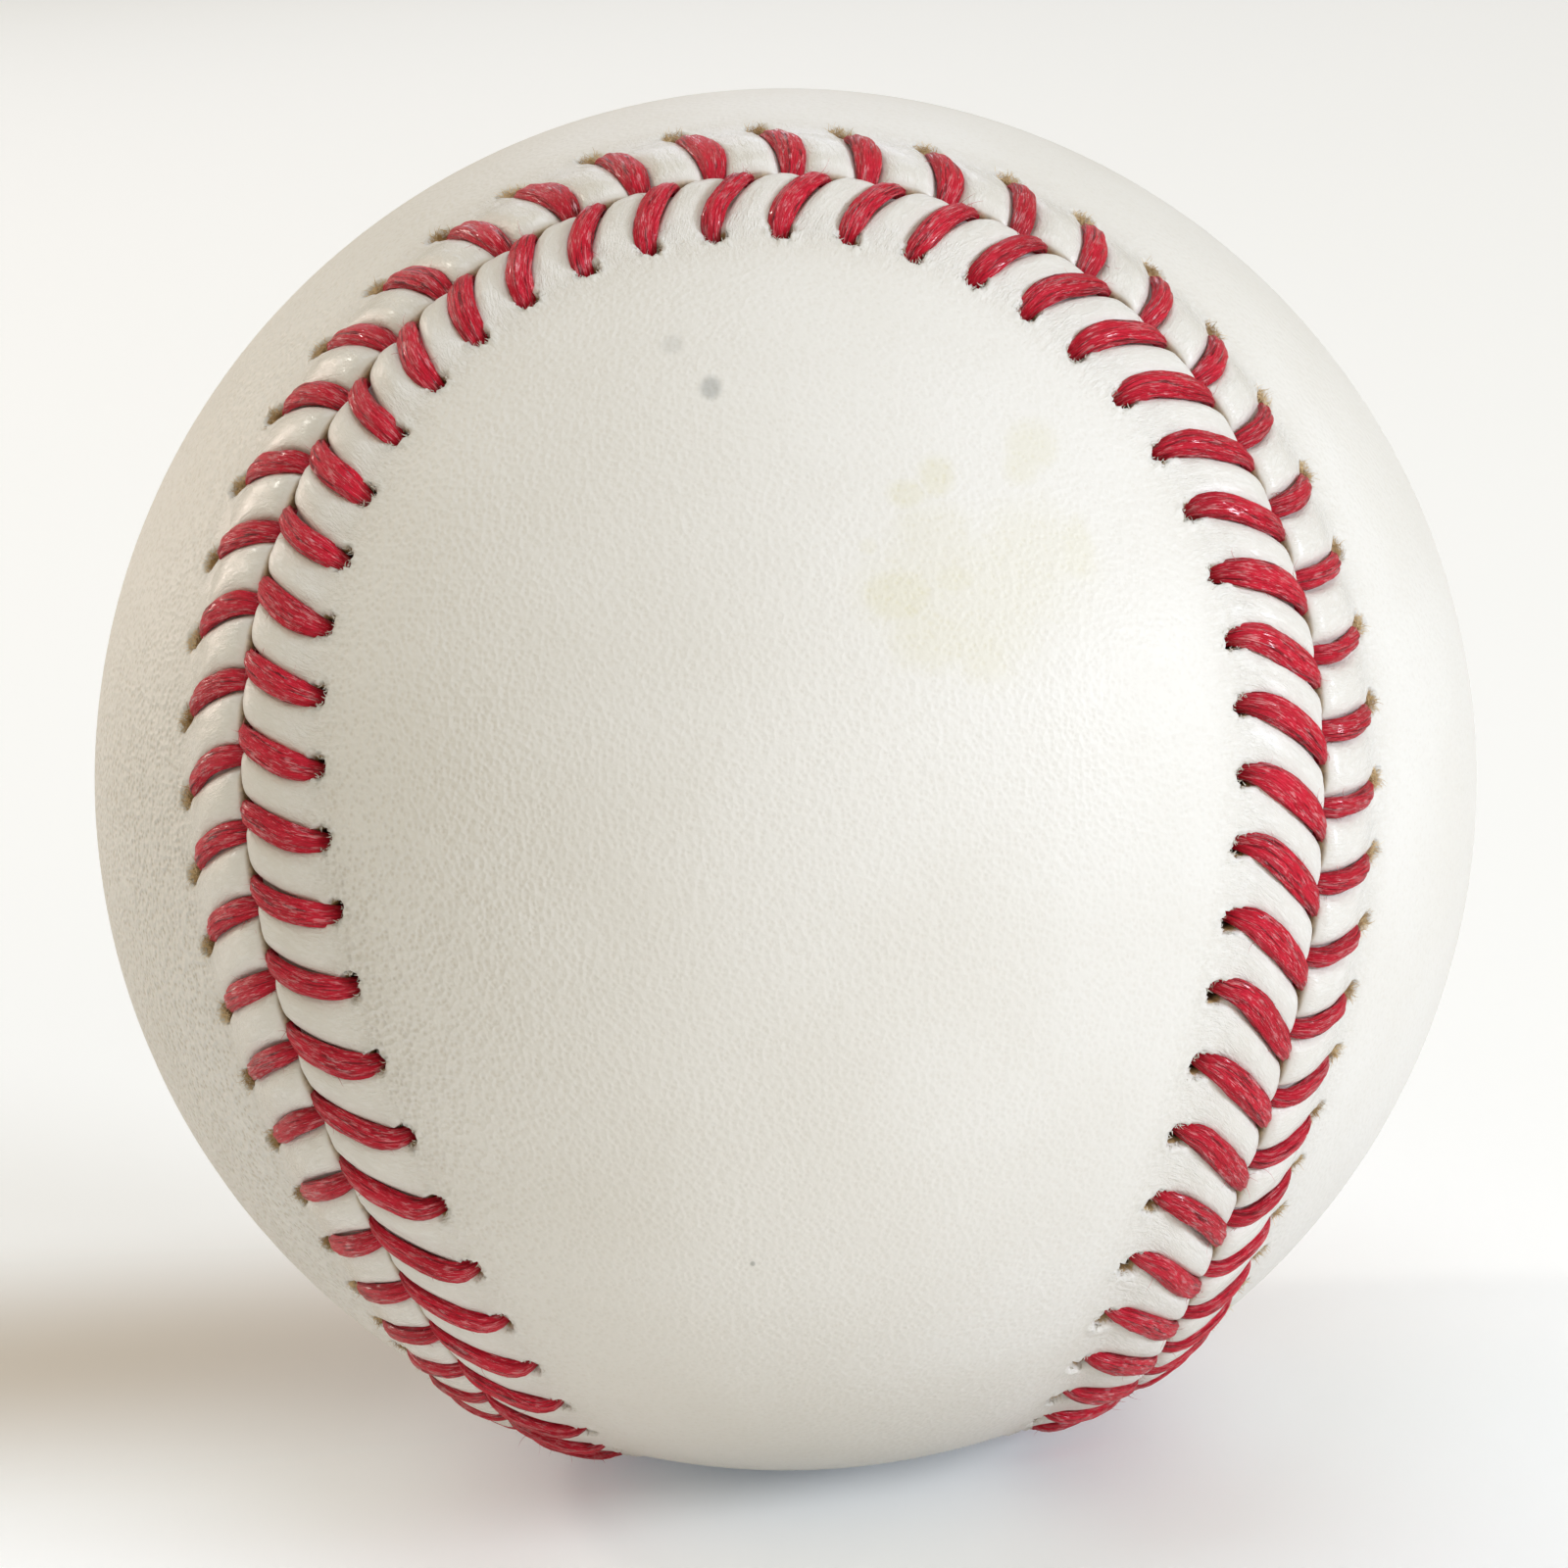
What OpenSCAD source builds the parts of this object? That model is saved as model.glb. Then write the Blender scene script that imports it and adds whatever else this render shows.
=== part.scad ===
// A stitched leather ball, built from the centre out: a moulded core, wound yarn,
// a leather cover in two figure-eight panels, and the raised seam that laces them.
// The origin is the ball's centre and the ball stands on the underside of its front
// panel. That panel's lobes face -Y and +Y and its waist is underneath. The side
// panel's lobes face -X and +X and its waist is on top.

/* [Ball] */
// Diameter over the smooth leather, away from the seam
ball_d = 73.8; // [72:0.1:76]
// Thickness of the cover leather
leather_t = 1.3; // [1.1:0.1:1.8]
// Room under the cover for its cement and for the thread's hidden runs
cover_gap = 0.5; // [0.5:0.05:0.7]
// Gap left between one layer and the next
layer_gap = 0.1; // [0.05:0.05:0.2]

/* [Moulded core] */
// Diameter of the cork and rubber centre
cork_d = 20.6; // [18:0.1:24]
// Wall of the two black rubber half shells
half_shell_t = 3.9; // [3:0.1:5]
// Thickness of the gasket between the two half shells
gasket_t = 0.8; // [0.5:0.1:1.5]
// Height of the locating rib round each half shell's joint face
rib_h = 0.2; // [0.1:0.05:0.2]
// Wall of the red rubber jacket
jacket_t = 2.4; // [1.5:0.1:3]

/* [Windings] */
// Depth of the second winding, of white wool
second_winding_t = 1.8; // [1:0.1:3]
// Depth of the third winding, of grey wool
third_winding_t = 2.2; // [1:0.1:3]
// Depth of the finishing winding, of white cotton
finish_winding_t = 0.5; // [0.3:0.1:1]

/* [Seam] */
// How far the seam draws in at the waists, as a share of the plain loop
waist_share = 0.49; // [0.44:0.01:0.54]
// How far the seam rises over the lobes, as a share of the plain loop
rise_share = 1.18; // [1.1:0.01:1.3]
// Number of stitches round the seam, a multiple of four
stitch_count = 108; // [100:4:112]
// Width of the groove between the two panels' edges
groove_w = 0.8; // [0.7:0.05:1]
// Distance from the middle of the seam to each row of holes
hole_offset = 5.1; // [4.8:0.1:5.5]
// Diameter of a stitch hole
hole_d = 1.8; // [1.6:0.1:2]
// Height of the leather pillows between the stitches
pillow_h = 0.75; // [0.5:0.05:0.9]
// How far the point of each V runs ahead of its two holes
v_lead = 2.2; // [1.6:0.1:2.4]

/* [Thread] */
// Width of the flattened thread where it lies on the leather
thread_w = 1.5; // [1.2:0.1:1.5]
// Thickness of the thread
thread_t = 0.6; // [0.5:0.05:0.65]

/* [Hidden] */
$fn = 64;

// Radii of the layers. The core is set from the centre out and the rest from the
// cover in, so the first winding takes up what is left between them.
ball_r = ball_d / 2;
cover_in_r = ball_r - leather_t;
finish_r = cover_in_r - cover_gap;
third_r = finish_r - finish_winding_t - layer_gap;
second_r = third_r - third_winding_t - layer_gap;
first_r = second_r - second_winding_t - layer_gap;
cork_r = cork_d / 2;
half_shell_in_r = cork_r + layer_gap;
half_shell_r = half_shell_in_r + half_shell_t;
jacket_in_r = half_shell_r + layer_gap;
jacket_r = jacket_in_r + jacket_t;
first_in_r = jacket_r + layer_gap;

// The rib on each half shell's joint face, and the groove that it fills in the gasket
rib_in_r = half_shell_in_r + half_shell_t / 3;
rib_out_r = half_shell_in_r + half_shell_t * 2 / 3;

// One named overrun for every cut that passes through a surface
overrun = 1;

// The seam, measured along itself: a table from distance along the seam to the angle
// of its formula, both for a ball of radius one.
seam_steps = 720;
seam_marks = [for (i = [0:seam_steps]) seam_at_angle(360 * i / seam_steps)];
arc_table = [
    for (
        i = 0, run = 0;
        i <= seam_steps;
        run = run + (i < seam_steps ? norm(seam_marks[i + 1] - seam_marks[i]) : 0), i = i + 1
    )
    [run, 360 * i / seam_steps]
];
seam_arc = arc_table[seam_steps][0];
pitch = seam_arc * ball_r / stitch_count;
// Half a stitch between the seam's own symmetry points and the nearest holes
first_stitch_share = 0.5;
// Share of a stitch over which the seam's direction is measured
look_share = 0.05;

// Each strand's point enters the groove beside the other's, this far from the V's point
entry_shift = thread_w / 2;
lead = v_lead / pitch;
shift = entry_shift / pitch;

// The lip is the raised edge of a panel. Its section runs from the groove over a crest
// to a toe that sinks into the leather just short of the holes. Each point of the
// section has a place, a height between two stitches and a height under a stitch.
lip_foot_r = cover_in_r + leather_t * 0.2;
lip_toe_r = ball_r - leather_t * 0.15;
lip_offsets = [groove_w / 2, groove_w / 2, hole_offset * 0.36, hole_offset - hole_d / 2 - layer_gap];
pillow_radii = [lip_foot_r, ball_r + pillow_h * 0.7, ball_r + pillow_h, lip_toe_r];
valley_radii = [lip_foot_r, ball_r - pillow_h * 0.2, ball_r + pillow_h * 0.07, lip_toe_r];
// Stations of that section through one stitch, as shares of the pitch: the two sides
// of the valley that the thread lies in, then the two sides of the pillow's top
valley_share = (thread_w / 2 + layer_gap) / pitch;
pillow_share = 0.1;
station_shares = [-valley_share, valley_share, 0.5 - pillow_share, 0.5 + pillow_share];
valley_station_count = 2;

// The plain sheet of a panel stops inside its lip
sheet_inset = groove_w / 2 + leather_t * 0.25;

// A wedge is cut well outside the ball, so that its flat facets clear the leather
wedge_r = ball_r * 3;
wedge_steps = stitch_count;

// Places along one stitch of the lacing, from under its hole to the foot of the
// groove. Each is [distance from the seam, radius]. Under the leather the thread is
// nearly as thick as it is wide, because it twists there.
under_r = cover_in_r - cover_gap * 0.42;
thread_r = ball_r + pillow_h * 0.07 + thread_t * 0.8;
hole_place = [hole_offset + hole_d * 0.1, under_r];
start_place = [hole_offset - hole_d * 0.35, thread_r];
lip_place = [groove_w * 0.12, thread_r - thread_t * 0.35];
foot_place = [0, under_r];
stitch_places = [hole_place, start_place, lip_place, foot_place];
width_shares = [0.4, 1, 0.75, 0.4];
thickness_shares = [0.7, 1.1, 1, 0.7];
thread_sides = 4;

// The seam's formula: a loop that dips twice and rises twice, put on the ball
function seam_at_angle(u) =
    let (p = [
        waist_share * cos(3 * u) - cos(u),
        -waist_share * sin(3 * u) - sin(u),
        -rise_share * cos(2 * u)
    ])
    p / norm(p);

// Directions at a place along the seam, which is counted in stitches
function wrap(value, whole) = value - whole * floor(value / whole);
function seam_dir(stitch) =
    let (share = wrap((stitch + first_stitch_share) / stitch_count, 1))
    seam_at_angle(lookup(share * seam_arc, arc_table));
function unit(v) = v / norm(v);
function along(stitch) = unit(seam_dir(stitch + look_share) - seam_dir(stitch - look_share));
function to_front(stitch) = unit(cross(along(stitch), seam_dir(stitch)));

// A point on one side of the seam: side is 1 on the front panel and -1 on the side panel
function spot(stitch, side, offset, radius) =
    let (turn = offset / ball_r * 180 / PI)
    radius * (seam_dir(stitch) * cos(turn) + side * to_front(stitch) * sin(turn));

// Where a stitch's leg has got to along the seam, at a distance from the seam
function leg_at(stitch, side, offset) =
    stitch + (lead + side * shift) * (1 - offset / hole_offset);

// Solid angle of one panel: a cone from the ball's centre through the seam, moved
// inset millimetres into the panel. It is closed far out by flat strips between seam
// points that mirror each other across the panel.
module front_wedge(inset) {
    quarter = wedge_steps / 4;
    spacing = stitch_count / wedge_steps;
    rim = [
        for (i = [0:wedge_steps - 1])
        spot(i * spacing - first_stitch_share, 1, inset, wedge_r)
    ];
    centre = wedge_steps;
    function near(i) = wrap(i, wedge_steps);
    function far(i) = wrap(wedge_steps / 2 - i, wedge_steps);
    sides = [for (i = [0:wedge_steps - 1]) [centre, near(i + 1), i]];
    strips = [
        for (i = [1 - quarter:quarter - 2])
        [near(i + 1), far(i + 1), far(i), near(i)]
    ];
    tips = [
        [near(1 - quarter), far(1 - quarter), near(-quarter)],
        [far(quarter - 1), near(quarter - 1), near(quarter)]
    ];
    polyhedron(points = concat(rim, [[0, 0, 0]]), faces = concat(sides, strips, tips));
}

// Cylinder between two points
module rod(from, to, radius, extra) {
    reach = to - from;
    tilt = acos(reach.z / norm(reach));
    heading = atan2(reach.y, reach.x);
    translate(from)
    rotate([0, tilt, heading])
    translate([0, 0, -extra])
    cylinder(r = radius, h = norm(reach) + 2 * extra);
}

// The hole that a stitch comes up through
module stitch_hole(stitch) {
    rod(spot(stitch, 1, hole_offset, cover_in_r), spot(stitch, 1, hole_offset, ball_r),
        hole_d / 2, overrun);
}

// The raised lip along a panel's edge, swept round the whole seam. It rises into a
// pillow between stitches and dips into a valley, along each stitch's slant.
module lip(side) {
    places = len(lip_offsets);
    stations = len(station_shares);
    rings = stitch_count * stations;
    points = [
        for (stitch = [0:stitch_count - 1])
        for (j = [0:stations - 1])
        let (radii = j < valley_station_count ? valley_radii : pillow_radii)
        for (i = [0:places - 1])
        spot(leg_at(stitch + station_shares[j], side, lip_offsets[i]), 1, lip_offsets[i], radii[i])
    ];
    faces = [
        for (ring = [0:rings - 1])
        for (i = [0:places - 1])
        let (
            a = ring * places + i,
            b = ring * places + (i + 1) % places,
            c = (ring + 1) % rings * places + (i + 1) % places,
            d = (ring + 1) % rings * places + i
        )
        each [[a, c, b], [a, d, c]]
    ];
    polyhedron(points = points, faces = faces);
}

// One figure-eight panel of leather, with its raised, laced edge. The panel is drawn
// on the front panel's side of the seam, and side says whose stitches it carries.
module laced_panel(side) {
    union() {
        intersection() {
            difference() {
                sphere(r = ball_r);
                sphere(r = cover_in_r);
                for (stitch = [0:stitch_count - 1]) stitch_hole(stitch);
            }
            front_wedge(sheet_inset);
        }
        lip(side);
    }
}

module front_cover_panel() {
    color([0.93, 0.91, 0.86]) laced_panel(1);
}

// The side panel is the front one turned a quarter and mirrored top to bottom
module side_cover_panel() {
    color([0.92, 0.9, 0.84])
    mirror([0, 0, 1])
    rotate([0, 0, 90])
    laced_panel(-1);
}

// The path of a strand, one stitch on the front panel and the next on the side panel.
// parity says on which panel it starts.
function strand_side(stitch, parity) = (stitch + parity) % 2 == 0 ? 1 : -1;
function strand_path(parity) = [
    for (stitch = [0:stitch_count - 1])
    let (side = strand_side(stitch, parity))
    for (place = stitch_places)
    spot(leg_at(stitch, side, min(place[0], hole_offset)), side, place[0], place[1])
];
function strand_along(parity) = [
    for (stitch = [0:stitch_count - 1])
    let (side = strand_side(stitch, parity))
    for (place = stitch_places)
    along(leg_at(stitch, side, min(place[0], hole_offset)))
];

// One ring of the thread's flattened section, square to the bend of the path
function ring(before, here, after, seam_along, width, thickness) =
    let (
        heading = unit(unit(here - before) + unit(after - here)),
        across = unit(seam_along - heading * (seam_along * heading)),
        up = cross(across, heading)
    )
    [
        for (i = [0:thread_sides - 1])
        here + across * cos(360 * i / thread_sides) * width / 2
            + up * sin(360 * i / thread_sides) * thickness / 2
    ];

module lacing_strand(parity) {
    path = strand_path(parity);
    seam_alongs = strand_along(parity);
    places = len(stitch_places);
    last = len(path) - 1;
    points = [
        for (i = [0:last])
        let (
            before = i > 0 ? path[i - 1] : 2 * path[0] - path[1],
            after = i < last ? path[i + 1] : 2 * path[last] - path[last - 1],
            width = thread_w * width_shares[i % places],
            thickness = thread_t * thickness_shares[i % places]
        )
        each ring(before, path[i], after, seam_alongs[i], width, thickness)
    ];
    skin = [
        for (i = [0:last - 1])
        for (j = [0:thread_sides - 1])
        let (
            a = i * thread_sides + j,
            b = i * thread_sides + (j + 1) % thread_sides,
            c = b + thread_sides,
            d = a + thread_sides
        )
        each [[a, b, c], [a, c, d]]
    ];
    start_cap = [for (j = [thread_sides - 1:-1:0]) j];
    end_cap = [for (j = [0:thread_sides - 1]) last * thread_sides + j];
    polyhedron(points = points, faces = concat(skin, [start_cap, end_cap]));
}

module first_lacing_strand() {
    color([0.72, 0.13, 0.2]) lacing_strand(0);
}

module second_lacing_strand() {
    color([0.7, 0.12, 0.19]) lacing_strand(1);
}

// A round layer between two radii
module round_layer(outer_r, inner_r) {
    difference() {
        sphere(r = outer_r);
        sphere(r = inner_r);
    }
}

module cork_core() {
    color([0.45, 0.3, 0.2]) sphere(r = cork_r);
}

// A flat ring standing on the ground
module ring_band(outer_r, inner_r, height) {
    difference() {
        cylinder(r = outer_r, h = height);
        translate([0, 0, -overrun])
        cylinder(r = inner_r, h = height + 2 * overrun);
    }
}

// One black rubber half shell, standing on its joint face, with a rib that bites
// the gasket
module half_shell() {
    face_z = gasket_t / 2;
    intersection() {
        round_layer(half_shell_r, half_shell_in_r);
        union() {
            translate([0, 0, face_z])
            cylinder(r = half_shell_r + overrun, h = half_shell_r + overrun);
            translate([0, 0, face_z - rib_h])
            ring_band(rib_out_r, rib_in_r, rib_h + overrun);
        }
    }
}

module upper_half_shell() {
    color([0.1, 0.1, 0.1]) half_shell();
}

module lower_half_shell() {
    color([0.12, 0.12, 0.12]) mirror([0, 0, 1]) half_shell();
}

module rubber_jacket() {
    color([0.6, 0.12, 0.1]) round_layer(jacket_r, jacket_in_r);
}

module first_winding() {
    color([0.55, 0.55, 0.55]) round_layer(first_r, first_in_r);
}

module second_winding() {
    color([0.9, 0.89, 0.85]) round_layer(second_r, first_r + layer_gap);
}

module third_winding() {
    color([0.6, 0.6, 0.6]) round_layer(third_r, second_r + layer_gap);
}

module finish_winding() {
    color([0.95, 0.94, 0.9]) round_layer(finish_r, third_r + layer_gap);
}

// The flat rubber ring between the half shells, grooved on both faces for their ribs
module shell_gasket() {
    rim_r = half_shell_r * cos(asin(gasket_t / 2 / half_shell_r));
    groove_depth = rib_h + layer_gap / 2;
    color([0.65, 0.15, 0.12])
    difference() {
        translate([0, 0, -gasket_t / 2])
        ring_band(rim_r, half_shell_in_r, gasket_t);
        for (flip = [0, 1])
        mirror([0, 0, flip])
        translate([0, 0, gasket_t / 2 - groove_depth])
        ring_band(rib_out_r + layer_gap / 2, rib_in_r - layer_gap / 2, groove_depth + overrun);
    }
}

cork_core();
lower_half_shell();
upper_half_shell();
shell_gasket();
rubber_jacket();
first_winding();
second_winding();
third_winding();
finish_winding();
front_cover_panel();
side_cover_panel();
first_lacing_strand();
second_lacing_strand();
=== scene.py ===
# %% [markdown]
# # A stitched leather ball
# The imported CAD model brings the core, the yarn, two cover panels and two lacing
# strands as solids. This lesson dresses them. The hidden layers keep their solids and
# get finishes, and the cover and the thread are made again with the detail that a
# close photograph shows: pillowed leather, torn holes, grain, and thread with fibres.

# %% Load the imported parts
import math
import bpy
import numpy as np
from mathutils import Matrix, Vector


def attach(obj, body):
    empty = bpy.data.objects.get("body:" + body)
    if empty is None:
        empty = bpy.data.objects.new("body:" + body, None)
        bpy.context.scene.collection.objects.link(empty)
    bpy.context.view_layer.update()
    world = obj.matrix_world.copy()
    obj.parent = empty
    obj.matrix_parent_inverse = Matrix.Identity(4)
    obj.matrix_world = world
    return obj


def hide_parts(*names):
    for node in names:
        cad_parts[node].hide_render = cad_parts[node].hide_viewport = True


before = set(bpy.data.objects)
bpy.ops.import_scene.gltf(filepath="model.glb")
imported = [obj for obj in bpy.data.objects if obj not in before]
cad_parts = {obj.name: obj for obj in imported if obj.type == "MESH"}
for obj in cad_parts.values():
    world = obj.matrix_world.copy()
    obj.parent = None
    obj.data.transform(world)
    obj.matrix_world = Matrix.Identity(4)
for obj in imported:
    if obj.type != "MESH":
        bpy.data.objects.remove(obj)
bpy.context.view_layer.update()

MM = 0.001
BALL_R = 36.9

# %% [markdown]
# ## Camera
# A ball looks rounder and flatter through a long lens, so the lens matters as much as
# the place. Both were fitted to the rows of holes in the photograph. The camera goes
# first, because a few later marks are placed by looking through it.

# %% Set up the camera
PHOTO = 1600
FOCAL = 6167.6
REACH = 324.81
BALL_PIXEL = (801.7, 795.3)
RIGHT = Vector((0.99785, -0.01006, -0.06469))
UP = Vector((0.06536, 0.20928, 0.97567))
TOWARD = Vector((0.00373, -0.9778, 0.20949))

nudge_right = (PHOTO / 2 - BALL_PIXEL[0]) / FOCAL * REACH
nudge_up = (BALL_PIXEL[1] - PHOTO / 2) / FOCAL * REACH
spot = (TOWARD * REACH + RIGHT * nudge_right + UP * nudge_up) * MM
lens = bpy.data.cameras.new("camera")
lens.sensor_width = 36
lens.lens = FOCAL / PHOTO * lens.sensor_width
lens.clip_start = 0.01
lens.clip_end = 20
camera = bpy.data.objects.new("camera", lens)
camera.matrix_world = Matrix.Translation(spot) @ Matrix((RIGHT, UP, TOWARD)).transposed().to_4x4()
bpy.context.scene.collection.objects.link(camera)
bpy.context.scene.camera = camera
print("Lens", round(lens.lens, 1), "mm,", round(spot.length / MM), "mm from the centre")


def on_ball(pixel_x, pixel_y):
    """Where a pixel of the photograph lands on the smooth ball, in millimetres."""
    ray = RIGHT * (pixel_x - BALL_PIXEL[0]) + UP * (BALL_PIXEL[1] - pixel_y) - TOWARD * FOCAL
    ray.normalize()
    start = TOWARD * REACH
    middle = start.dot(ray)
    return start + ray * (-middle - math.sqrt(middle ** 2 - start.length_squared + BALL_R ** 2))


# %% [markdown]
# ## The seam's curve
# One line rules the whole cover: a loop that dips twice and rises twice. Its formula
# gives a direction from the ball's centre. Measured along itself and cut into 108
# equal steps, it gives each stitch its place, so every later piece asks these
# functions for its own.

# %% Measure the seam
WAIST = 0.49
RISE = 1.18
STITCHES = 108


def seam_at_angle(angle):
    """Direction of the seam at an angle of its formula."""
    path = np.stack([
        WAIST * np.cos(3 * angle) - np.cos(angle),
        -WAIST * np.sin(3 * angle) - np.sin(angle),
        -RISE * np.cos(2 * angle),
    ], axis=-1)
    return path / np.linalg.norm(path, axis=-1, keepdims=True)


seam_angles = np.linspace(0, 2 * np.pi, 7201)
seam_marks = seam_at_angle(seam_angles)
seam_steps = np.linalg.norm(np.diff(seam_marks, axis=0), axis=1)
seam_run = np.concatenate([[0], np.cumsum(seam_steps)])
PITCH = seam_run[-1] * BALL_R / STITCHES
print("Seam", round(PITCH * STITCHES, 1), "mm, a stitch every", round(PITCH, 3), "mm")


# %% Find directions along the seam
def unit(vectors):
    """Vectors brought to length one."""
    return vectors / np.linalg.norm(vectors, axis=-1, keepdims=True)


def seam_dir(stitch):
    """Direction of the seam at a place counted in stitches."""
    share = np.mod((np.asarray(stitch, float) + 0.5) / STITCHES, 1)
    return seam_at_angle(np.interp(share * seam_run[-1], seam_run, seam_angles))


def seam_frame(stitch):
    """Outward, ahead along the seam, and across it to the front panel."""
    out = seam_dir(stitch)
    ahead = unit(seam_dir(stitch + 0.03) - seam_dir(stitch - 0.03))
    return out, ahead, unit(np.cross(ahead, out))


def beside_seam(stitch, side, offset):
    """Direction of a point offset millimetres from the seam, on one side of it."""
    out, ahead, front = seam_frame(stitch)
    turn = (np.asarray(offset, float) / BALL_R)[..., None]
    return out * np.cos(turn) + side * front * np.sin(turn)


# %% [markdown]
# ## The slant of a stitch
# Each leg of thread runs from its hole to the groove, a little ahead of the hole. The
# leg on the front panel leaves its hole straight and bends at the groove. The one on
# the side panel bends near its hole. The pillows of leather lie between the legs, so
# leather and thread share this one function.

# %% Lay the legs
FRONT = 1
SIDE = -1
HOLE_OFFSET = 5.1
FRONT_LEAD = 2.65
SIDE_LEAD = 1.8


def slant(side, offset):
    """How far a leg has run ahead of its hole, in millimetres."""
    rest = 1 - np.clip(np.asarray(offset, float) / HOLE_OFFSET, 0, 1)
    if side == FRONT:
        return FRONT_LEAD * rest ** 1.4
    return SIDE_LEAD * (1 - (1 - rest) ** 1.7)


print("Lead at the groove:", slant(FRONT, 0), "and", slant(SIDE, 0), "mm")

# %% [markdown]
# ## Sewn by hand
# A ball is laced by hand, so its rows of holes wander: some lie farther from the seam
# than others, some a little behind, and the legs lean more or less. The lists give the
# distance of the hole, its shift and the lean of the leg's other end, in millimetres,
# and how wide the leg is pulled, at some stitches as the photograph shows them. The far
# side is plain. Beyond the holes the wandering fades out, and nearer the groove than
# SHIFT_FROM the shift gives way to the lean.

# %% Let the rows of holes wander
hand = {
    FRONT: {
        "stitch": [0, 4, 6, 8, 12, 15, 18, 21, 23, 26, 30, 32, 36, 39, 42, 45, 48, 54],
        "hole": [5.1, 4.6, 4.7, 4.9, 4.95, 5.05, 4.9, 4.55, 4.3, 4.6, 4.85, 5.15, 5.1, 5.2, 5.65,
                 5.6, 5.4, 5.1],
        "shift": [0, -0.8, -0.7, -0.9, -0.1, -0.2, -0.1, 0.1, -0.4, -0.3, 0.2, 0, 0.1, -0.5,
                  -0.9, -1.1, -0.9, 0],
        "lean": [0, -0.3, -0.4, -0.5, -0.6, -0.6, -0.7, -0.8, -0.8, -0.7, -0.4, -0.2, 0, 0, 0, 0,
                 0, 0],
        "width": [1, 1, 1, 1, 0.98, 0.98, 1, 1, 0.95, 0.86, 0.95, 1.05, 1.12, 1.12, 1.1, 1, 1, 1],
    },
    SIDE: {
        "stitch": [0, 6, 9, 12, 15, 18, 21, 24, 26, 28, 30, 32, 34, 36, 39, 42, 45, 48, 54],
        "hole": [5.1, 5.5, 5.5, 5.4, 5.3, 5.5, 5.8, 6.2, 6.3, 5.9, 5.4, 4.9, 4.5, 4.6, 4.75, 4.6,
                 4.5, 5.0, 5.1],
        "shift": [0, -1.1, -0.8, -0.6, -0.8, -0.6, -0.9, -1.1, -1.0, -1.2, -0.9, -0.6, -0.3, 0.1,
                  0.1, -0.1, -0.7, -0.4, 0],
        "lean": [0, -0.5, -0.7, -0.8, -0.9, -0.8, -1.1, -1.3, -1.45, -1.3, -0.8, -0.5, -0.5, -0.5,
                 -0.4, -0.4, -0.4, -0.2, 0],
        "width": [1, 1, 1, 1, 1, 1.05, 1.12, 1.25, 1.3, 1.25, 1.1, 0.95, 0.85, 0.82, 0.82, 0.85,
                  0.9, 1, 1],
    },
}
FADE_FROM = 6
FADE_OVER = 3.1
SHIFT_FROM = 4


def laid(side, place, offset):
    """Direction of a point beside a leg, from its place along the seam and its offset."""
    row = hand[side]
    hole, shift, lean = (np.interp(place / PITCH, row["stitch"], row[label], period=STITCHES)
                         for label in ("hole", "shift", "lean"))
    offset = np.asarray(offset, float) + np.zeros_like(place)
    hold = 1 - np.clip((offset - FADE_FROM) / FADE_OVER, 0, 1)
    share = np.clip(offset / SHIFT_FROM, 0, 1)
    ahead = slant(side, offset) + (shift * share + lean * (1 - share)) * hold
    stretch = 1 + (hole / HOLE_OFFSET - 1) * hold
    return beside_seam((place + ahead) / PITCH, side, offset * stretch)


print("Farthest hole:", max(hand[SIDE]["hole"]), "mm from the seam")


# %% [markdown]
# ## Writing nodes as sums
# A tree of nodes is easier to read as arithmetic. This class wraps one output socket:
# adding, multiplying or comparing it adds a Math node and gives the next socket. The
# same class serves materials and Geometry Nodes, because both have those nodes.

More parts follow.
